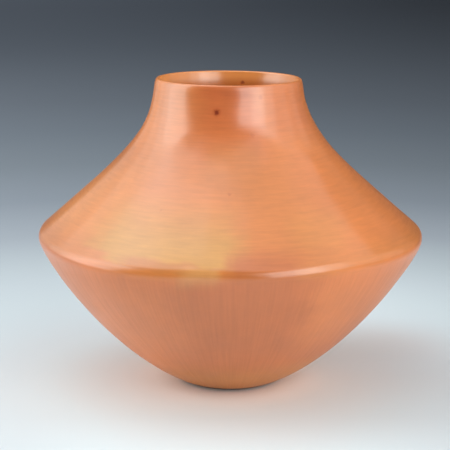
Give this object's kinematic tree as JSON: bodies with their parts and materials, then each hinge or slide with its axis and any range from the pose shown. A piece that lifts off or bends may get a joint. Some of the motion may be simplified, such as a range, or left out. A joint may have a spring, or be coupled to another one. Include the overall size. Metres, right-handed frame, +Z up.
{
  "type": "coiled pottery jar",
  "caption": "Burnished clay storage jar, coil built: small flat foot, wide bowl turning in at a sharp shoulder ridge, waisted neck and thin round lip.",
  "frame": {"origin": "centre of the flat foot's underside, on the jar's axis", "axes": "+Z up the jar's axis through the mouth; -Y faces the camera of the picture; +X is to its right"},
  "size_m": [0.21, 0.21, 0.1682],
  "materials": {
    "base_clay": "stone-burnished slip, worn where it stands",
    "bowl_clay": "stone-burnished slip, soft sheen",
    "ridge_clay": "stone-burnished slip, soft sheen",
    "shoulder_clay": "stone-burnished slip with fire blushes, soft sheen",
    "neck_clay": "stone-burnished slip outside, scraped clay inside"
  },
  "bodies": {
    "root": {"base": "base_clay", "bowl_coil_1": "bowl_clay", "bowl_coil_2": "bowl_clay", "bowl_coil_3": "bowl_clay", "bowl_coil_4": "bowl_clay", "ridge_coil": "ridge_clay", "shoulder_coil_1": "shoulder_clay", "shoulder_coil_2": "shoulder_clay", "shoulder_coil_3": "shoulder_clay", "shoulder_coil_4": "shoulder_clay", "neck_coil_1": "neck_clay", "neck_coil_2": "neck_clay", "rim_coil": "neck_clay"}
  },
  "joints": []
}
